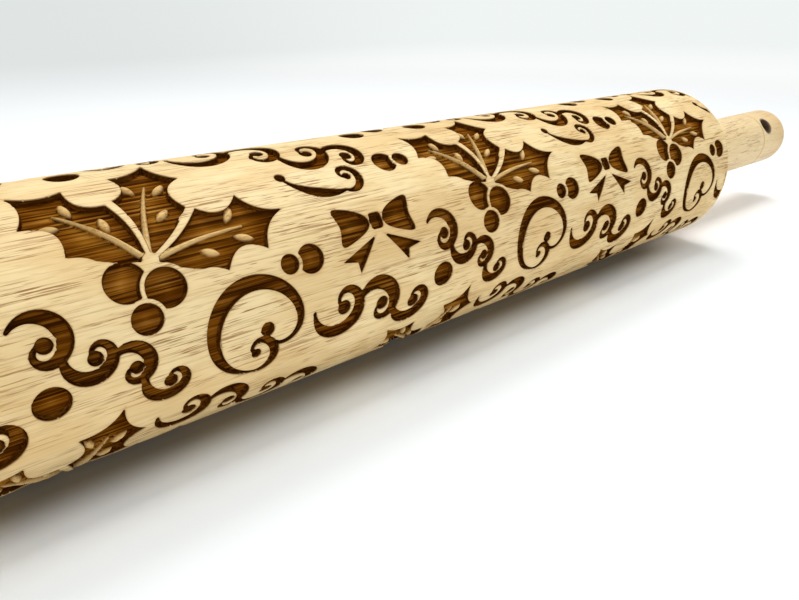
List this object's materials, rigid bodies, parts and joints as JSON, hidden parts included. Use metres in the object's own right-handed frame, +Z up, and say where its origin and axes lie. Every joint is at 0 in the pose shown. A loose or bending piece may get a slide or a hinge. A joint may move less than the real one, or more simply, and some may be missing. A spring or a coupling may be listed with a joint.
{
  "type": "embossed rolling pin",
  "caption": "Wooden rolling pin: an engraved barrel with holly sprigs, bows and berries turns on a steel axle between two turned handles, each with a groove and a hanging hole.",
  "frame": {"origin": "centre of the pin's footprint on the table: midway between the handle ends, under the axle, at the height of the barrel's lowest flat", "axes": "+X along the axle towards the handle that the picture shows, +Z up, -Y towards the camera"},
  "size_m": [0.4248, 0.05, 0.05],
  "materials": {
    "beech_barrel": "sanded beech, with the floors and walls of the engraving burnt brown",
    "beech_handle": "sanded and lightly oiled beech",
    "axle_steel": "drawn steel rod",
    "washer_steel": "bright pressed steel",
    "bushing_nylon": "natural white nylon"
  },
  "bodies": {
    "grip_assembly": {"axle": "axle_steel", "handle_far": "beech_handle", "handle_near": "beech_handle", "washer_far": "washer_steel", "washer_near": "washer_steel"},
    "roller": {"barrel": "beech_barrel", "bushing_far": "bushing_nylon", "bushing_near": "bushing_nylon"}
  },
  "joints": [
    {"name": "barrel_spin", "type": "hinge", "parent": "grip_assembly", "child": "roller", "pos_m": [0, 0, 0.025], "axis": [1, 0, 0], "continuous": true}
  ]
}
